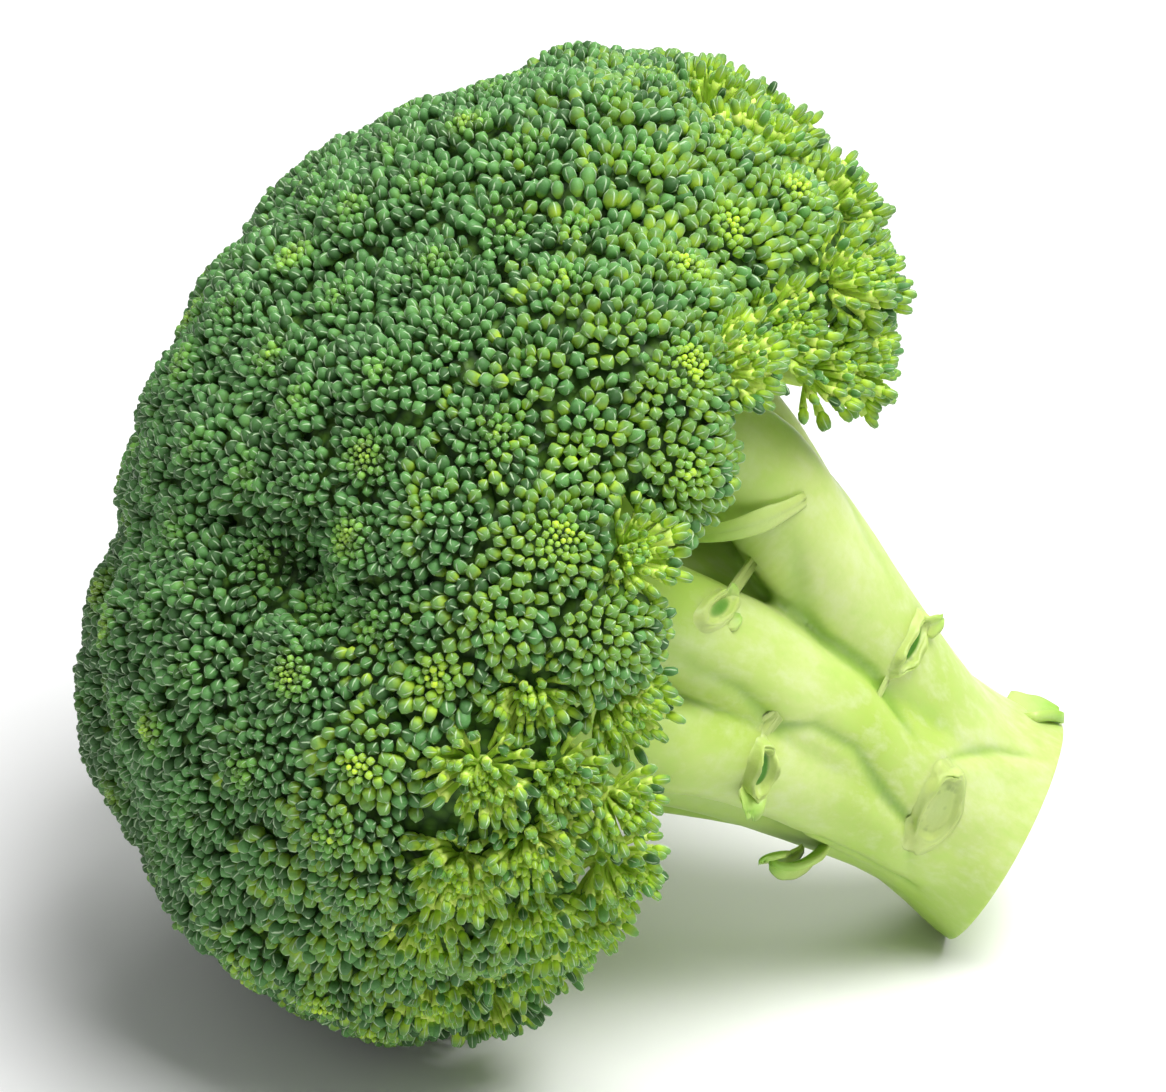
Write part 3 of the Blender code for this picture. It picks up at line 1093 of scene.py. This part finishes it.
def buildStalk():
    bm = bmesh.new()
    ahead = -slope(stalk["riseAtCut"], stalk["turnAtCut"])
    trunk = [cutMiddle - ahead * 14 * mm] + [lineAt(i / 10) for i in range(11)]
    trunk += [trunk[-1] + crownAxis * 14 * mm, trunk[-1] + crownAxis * 28 * mm]
    radii = [stalk["cutRadius"] + stalk["cutFlare"]]
    for i in range(11):
        flare = stalk["cutFlare"] * max(0, 1 - i / 3) ** 2
        widening = (stalk["forkRadius"] - stalk["cutRadius"]) * (i / 10) ** 2
        radii.append(stalk["cutRadius"] + flare + widening)
    tubeAlong(bm, trunk, radii + [19 * mm, 14 * mm], 40)
    for limb in limbs:
        line = limbLine(limb)
        count = len(line) - 1
        widths = [limb[3] * mm * (1.0 - 0.16 * i / count) for i in range(count + 1)]
        tubeAlong(bm, line, widths, 24)
    names = ["stalk"] + sorted(name for name in nodes if name.startswith("branch_"))
    for name in names[1:]:
        bm.from_mesh(nodes[name].data)
    bmesh.ops.remove_doubles(bm, verts=bm.verts, dist=1e-6)
    bmesh.ops.recalc_face_normals(bm, faces=bm.faces)
    mesh = meshFrom(bm, "stalkRaw")
    piece = linkPiece("stalk_skin", mesh, names)
    remesh = piece.modifiers.new("fuse", "REMESH")
    remesh.mode = "VOXEL"
    remesh.voxel_size = stalk["voxel"]
    smooth = piece.modifiers.new("soften", "SMOOTH")
    smooth.factor = 0.6
    smooth.iterations = 14
    bpy.context.view_layer.update()
    done = bpy.data.meshes.new_from_object(piece.evaluated_get(bpy.context.evaluated_depsgraph_get()))
    piece.modifiers.clear()
    piece.data = done
    finishStalk(done)
    done.shade_smooth()
    layOnSurface(done)
    print("stalk:", len(done.polygons), "faces")
    return piece


def addMark(mesh, name, kind, part, values):
    mark = mesh.attributes.new(name, kind, "POINT")
    mark.data.foreach_set(part, values.astype(np.float32).ravel())


def finishStalk(mesh):
    # cut the end off square to the cut plane and shape its face: a dried lip, then sunken pith
    bm = bmesh.new()
    bm.from_mesh(mesh)
    everything = bm.verts[:] + bm.edges[:] + bm.faces[:]
    cut = bmesh.ops.bisect_plane(
        bm, geom=everything, plane_co=cutMiddle, plane_no=cutNormal, clear_outer=True)
    rim = [part for part in cut["geom_cut"] if isinstance(part, bmesh.types.BMEdge)]
    end = bmesh.ops.holes_fill(bm, edges=rim)["faces"]
    end = [max(end, key=lambda face: face.calc_area())]
    middle = end[0].calc_center_bounds()
    ringOf = bm.verts.layers.float.new("ring")
    for vert in bm.verts:
        vert[ringOf] = 1.0
    before = 1.0
    for share, sink in stalk["cutRings"]:
        end = bmesh.ops.extrude_discrete_faces(bm, faces=end)["faces"]
        verts = end[0].verts[:]
        scale = Vector((1, 1, 1)) * share / before
        bmesh.ops.scale(bm, vec=scale, space=Matrix.Translation(-middle), verts=verts)
        bmesh.ops.translate(bm, vec=-cutNormal * sink * mm, verts=verts)
        middle = middle - cutNormal * sink * mm
        for vert in verts:
            vert[ringOf] = share
        before = share
    for vert in bmesh.ops.poke(bm, faces=end)["verts"]:
        vert[ringOf] = 0.0
    for face in bm.faces:
        face.material_index = int(sum(vert[ringOf] for vert in face.verts) < len(face.verts) - 1e-4)
    bm.to_mesh(mesh)
    bm.free()
    mesh.materials.clear()
    mesh.materials.append(stalkMaterial)
    mesh.materials.append(cutMaterial)
    co = pointsOf(mesh).astype(float)
    normals = np.zeros(len(mesh.vertices) * 3, np.float32)
    mesh.vertices.foreach_get("normal", normals)
    ends = np.zeros(len(mesh.edges) * 2, int)
    mesh.edges.foreach_get("vertices", ends)
    ends = ends.reshape(-1, 2)
    joined = np.bincount(ends.ravel(), minlength=len(co)).reshape(-1, 1)
    normals = normals.reshape(-1, 3)
    grain = stalkGrain(co)
    onCut = np.abs((co - np.array(cutMiddle)) @ np.array(cutNormal)) < 1.2 * mm
    pressed, groove = pressCreases(co, normals, grain)
    co[~onCut] = pressed[~onCut]
    mesh.vertices.foreach_set("co", co.ravel())
    # how hollow each point lies, plus its groove: how much painted shade it gets
    soft = co.copy()
    for _ in range(stalk["hollowSteps"]):
        total = np.zeros_like(soft)
        for axis in range(3):
            total[:, axis] += np.bincount(ends[:, 0], soft[ends[:, 1], axis], len(co))
            total[:, axis] += np.bincount(ends[:, 1], soft[ends[:, 0], axis], len(co))
        soft = total / np.maximum(joined, 1)
    creaseShade = np.sum((soft - co) * normals, axis=1) / stalk["hollowDepth"]
    creaseShade = np.clip(creaseShade, 0, 0.6) + groove * stalk["grooveShade"]
    # greener and darker towards the crown: partly the skin's own colour, partly painted shade under the crown
    toCrown = (co - np.array(crownMiddle)) @ np.array(crownAxis)
    deep = np.clip((toCrown + 36 * mm) / (26 * mm), 0, 1) * 0.6
    addMark(mesh, "creaseShade", "FLOAT", "value", np.clip(creaseShade, 0, 1))
    addMark(mesh, "deep", "FLOAT", "value", deep)
    addMark(mesh, "grain", "FLOAT_VECTOR", "vector", grain)


stalkPiece = buildStalk()


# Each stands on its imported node, shifted along the skin. A scar is an oval collar round a slit.
# A blade is a torn flap: its root, its tip and how far it bends in between, each in millimetres
# towards the crown, towards the upper edge and outwards, then its width and its thickness.
leaves = {
    "leaf_stub_upper": {
        "shift": (2.2, -1.8),
        "scar": {"long": 6.2, "wide": 1.9, "turn": 92, "collar": 1.6, "slit": 0.52, "slitShade": 1.0},
        "blades": [((-0.8, 3.4, -0.8), (-2.2, 6.0, 1.5), (0, 0, 1), 3.2, 0.7)],
    },
    "leaf_stub_butt": {
        "shift": (2.4, -3.6),
        "blades": [((4.0, 0.0, -1.8), (-4.2, 0.5, 2.0), (0.6, 0, 0.9), 7.6, 1.9)],
    },
    "leaf_scar_front": {
        "shift": (0.8, -1.6),
        "scar": {"long": 7.4, "wide": 3.9, "turn": 68, "collar": 1.4, "slit": 0.55, "slitShade": 0.5},
        "blades": [],
    },
    "leaf_stub_front": {
        "shift": (-1.2, -5.2),
        "scar": {"long": 6.0, "wide": 2.6, "turn": 66, "collar": 2.2, "slit": 0.42, "slitShade": 1.0},
        "blades": [((-0.5, -3.6, -0.8), (-1.4, -6.6, 1.8), (0, 0, 1), 5.0, 1.3)],
    },
    "leaf_stub_lower": {
        "shift": (-2.6, -4.0),
        "blades": [
            ((-5.5, 0.0, -1.6), (2.4, -2.6, 4.4), (0, 0, 3), 6.0, 1.4),
            ((0.5, -1.5, 2.6), (5.6, -1.4, 6.2), (1, 0, 0), 3.6, 0.9),
            ((-2.0, -1.0, 0.6), (1.0, -5.2, 3.0), (0, 0, 1), 3.4, 0.9),
        ],
    },
    "leaf_scar_middle": {
        "shift": (1.4, -8.0),
        "scar": {"long": 7.6, "wide": 3.0, "turn": 116, "collar": 1.2, "slit": 0.34, "slitShade": 0.9},
        "blades": [
            ((-1.4, 3.0, -0.8), (-0.6, 4.8, 0.8), (0, 0, 0.5), 2.6, 0.7),
            ((-2.0, -1.6, -0.8), (-3.6, 0.6, 0.7), (0, 0, 0.6), 2.2, 0.6),
        ],
    },
    # the bracts stand off the skin: shifted from the node's middle, with the way outwards given
    "bract_long": {
        "shift": (-0.50, 0.37, -0.12),
        "faces": (-0.588, 0.791, -0.170),
        "blades": [((6.4, -3.4, -19.0), (15.8, 8.8, -6.1), (2.5, 3.5, -4.0), 2.9, 1.0)],
    },
    "bract_small": {
        "shift": (0.90, -2.27, -0.26),
        "faces": (-0.342, 0.931, 0.129),
        "blades": [((-3.0, 0.0, -1.5), (5.0, 2.0, 3.0), (0, 1, 3), 2.6, 0.8)],
    },
}


def treeOf(mesh):
    bm = bmesh.new()
    bm.from_mesh(mesh)
    tree = BVHTree.FromBMesh(bm)
    bm.free()
    return tree


stalkTree = treeOf(stalkPiece.data)


def standingFrame(spot, out):
    # directions on the skin: towards the crown, upper edge, outwards
    index = min(range(lineSteps + 1), key=lambda number: (centreLine[number] - spot).length)
    ahead = aheadAt(index)
    ahead = (ahead - out * ahead.dot(out)).normalized()
    return spot, ahead, ahead.cross(out), out


def standingOn(name):
    # where the node meets the skin, shifted along it by so many millimetres
    leaf = leaves[name]
    if "faces" in leaf:
        return standingFrame(nodeMiddle(name) + Vector(leaf["shift"]) * mm, Vector(leaf["faces"]).normalized())
    spot, out = stalkTree.find_nearest(nodeMiddle(name))[:2]
    spot, ahead, side, out = standingFrame(spot, out)
    up, across = leaf["shift"]
    return standingFrame(*stalkTree.find_nearest(spot + (ahead * up + side * across) * mm)[:2])


def addScar(bm, place, scar, tipOf, slitOf):
    # a disc laid on the skin, raised to a collar and sunk to a slit, and closed underneath
    spot, ahead, side, out = place
    turn = math.radians(scar["turn"])
    longWay = ahead * math.cos(turn) + side * math.sin(turn)
    wideWay = side * math.cos(turn) - ahead * math.sin(turn)
    grid = bmesh.ops.create_grid(bm, x_segments=44, y_segments=28, size=1)["verts"]
    for vert in grid:
        x, y = vert.co.x, vert.co.y
        # the square is rounded to a disc
        u, v = x * math.sqrt(1 - y * y / 2), y * math.sqrt(1 - x * x / 2)
        away = math.hypot(u, v)
        ragged = 1 + 0.16 * noise.noise(Vector((u * 2.3, v * 2.3, scar["long"])))
        flat = (longWay * u * scar["long"] + wideWay * v * scar["wide"]) * mm * ragged * 1.25
        ground, rising = stalkTree.find_nearest(spot + flat)[:2]
        rising = (rising + out * 0.6).normalized()
        inner = scar["slit"]
        narrow = 0.13 if away > inner + 0.15 else 0.09
        rise = scar["collar"] * math.exp(-(((away - inner - 0.15) / narrow) ** 2))
        rise *= 0.8 + 0.7 * noise.noise(Vector((u * 2.6, v * 2.6, scar["wide"])))
        sunk = 1 / (1 + math.exp((away - inner) / 0.055))
        edge = 0.08 - 0.9 * max(0.0, away - inner - 0.25)
        vert.co = ground + rising * (rise + edge) * mm
        vert[tipOf] = 0.3 * rise / scar["collar"]
        # how dark the slit is painted: painted shade in the opening
        vert[slitOf] = sunk * scar["slitShade"]
    faces = list({face for vert in grid for face in vert.link_faces})
    bmesh.ops.solidify(bm, geom=faces, thickness=0.5 * mm)


def addBlade(bm, place, blade, seed, tipOf, slitOf):
    spot, ahead, side, out = place
    root, tip, bend, wide, thick = blade
    turn = Matrix((ahead, side, out)).transposed() * mm
    root, tip = spot + turn @ Vector(root), spot + turn @ Vector(tip)
    bend = turn @ Vector(bend)
    line = bezier(root, root.lerp(tip, 0.3) + bend, root.lerp(tip, 0.75) + bend, tip, 20)
    grid = bmesh.ops.create_grid(bm, x_segments=12, y_segments=20, size=1)["verts"]
    for vert in grid:
        across, share = vert.co.x, (vert.co.y + 1) / 2
        index = min(19, int(share * 20))
        middle = line[index].lerp(line[index + 1], share * 20 - index)
        way = (line[index + 1] - line[index]).normalized()
        flatWay = way.cross(out)
        flatWay = flatWay.normalized() if flatWay.length > 0.2 else way.cross(side).normalized()
        lift = flatWay.cross(way)
        half = wide / 2 * (1.15 - 0.85 * share**1.6) * min(1, 0.45 + 2.2 * share)
        half *= 1 + 0.22 * noise.noise(Vector((share * 4, across, seed)))
        cup = 0.35 * half * across * across
        torn = 0.9 * share**3 * noise.noise(Vector((across * 2.5, seed, 3.0)))
        vert.co = middle + (flatWay * across * half + lift * cup + way * torn * half) * mm
        vert[tipOf] = share
        vert[slitOf] = 0.0
    faces = list({face for vert in grid for face in vert.link_faces})
    bmesh.ops.solidify(bm, geom=faces, thickness=thick * mm)


def buildLeaves():
    for seed, (name, leaf) in enumerate(leaves.items()):
        bm = bmesh.new()
        tipOf = bm.verts.layers.float.new("tip")
        slitOf = bm.verts.layers.float.new("slit")
        place = standingOn(name)
        if "scar" in leaf:
            addScar(bm, place, leaf["scar"], tipOf, slitOf)
        for blade in leaf["blades"]:
            addBlade(bm, place, blade, seed + blade[3], tipOf, slitOf)
        label = "torn_" + name
        linkPiece(label, meshFrom(bm, label, smooth=True), [name], leafMaterial)
    print("leaf remains:", len(leaves))


buildLeaves()


studio = {
    "distance": 0.90,
    "lens": 179.2,
    "elevation": 25.0,
    "aimRight": 1.1 * mm,
    "aimUp": -1.9 * mm,
    "floorSize": 6.0,
    # power, size and place from the object's middle
    "lights": {
        "key": (17.5, 0.7, (0.35, -0.30, 1.0)),
        "fill": (1.6, 1.2, (-0.9, -0.7, 0.5)),
        "rim": (5.5, 0.8, (0.3, 0.8, 0.8)),
    },
    "paper": (0.88, 0.88, 0.88),
    "paperRoughness": 0.9,
    "world": 0.27,
    "backdrop": 1.0,
}


def areaLight(name, power, size, place, target):
    light = bpy.data.lights.new(name, "AREA")
    light.energy = power
    light.size = size
    holder = bpy.data.objects.new(name, light)
    holder.location = place
    holder.rotation_euler = (target - place).to_track_quat("-Z", "Y").to_euler()
    bpy.context.scene.collection.objects.link(holder)


def buildStudio():
    bpy.ops.mesh.primitive_plane_add(size=studio["floorSize"], location=(0, 0, 0))
    floor = bpy.context.object
    floor.name = "floor"
    paper = skinMaker("paper")
    paper.shader.inputs["Base Color"].default_value = rgb(*studio["paper"])
    paper.shader.inputs["Roughness"].default_value = studio["paperRoughness"]
    floor.data.materials.append(paper.material)
    low, high = cadBox
    middle = (Vector(low) + Vector(high)) / 2
    for name, (power, size, place) in studio["lights"].items():
        areaLight(name, power, size, middle + Vector(place), middle)
    world = bpy.data.worlds.new("studioWorld")
    bpy.context.scene.world = world
    world.use_nodes = True
    tree = world.node_tree
    soft = tree.nodes["Background"]
    seen = tree.nodes.new("ShaderNodeBackground")
    for glow, strength in ((soft, studio["world"]), (seen, studio["backdrop"])):
        glow.inputs["Strength"].default_value = strength
        glow.inputs["Color"].default_value = rgb(1, 1, 1)
    path = tree.nodes.new("ShaderNodeLightPath")
    choose = tree.nodes.new("ShaderNodeMixShader")
    tree.links.new(path.outputs["Is Camera Ray"], choose.inputs["Fac"])
    tree.links.new(soft.outputs["Background"], choose.inputs[1])
    tree.links.new(seen.outputs["Background"], choose.inputs[2])
    tree.links.new(choose.outputs["Shader"], tree.nodes["World Output"].inputs["Surface"])
    lens = bpy.data.cameras.new("camera")
    lens.lens = studio["lens"]
    lens.sensor_width = 36
    holder = bpy.data.objects.new("camera", lens)
    bpy.context.scene.collection.objects.link(holder)
    tilt = math.radians(studio["elevation"])
    towards = Vector((0, math.cos(tilt), -math.sin(tilt)))
    up = Vector((0, math.sin(tilt), math.cos(tilt)))
    aim = middle + Vector((studio["aimRight"], 0, 0)) + up * studio["aimUp"]
    holder.location = aim - towards * studio["distance"]
    holder.rotation_euler = towards.to_track_quat("-Z", "Y").to_euler()
    bpy.context.scene.camera = holder
    bpy.context.scene.view_settings.view_transform = "Standard"


buildStudio()
print("studio ready")
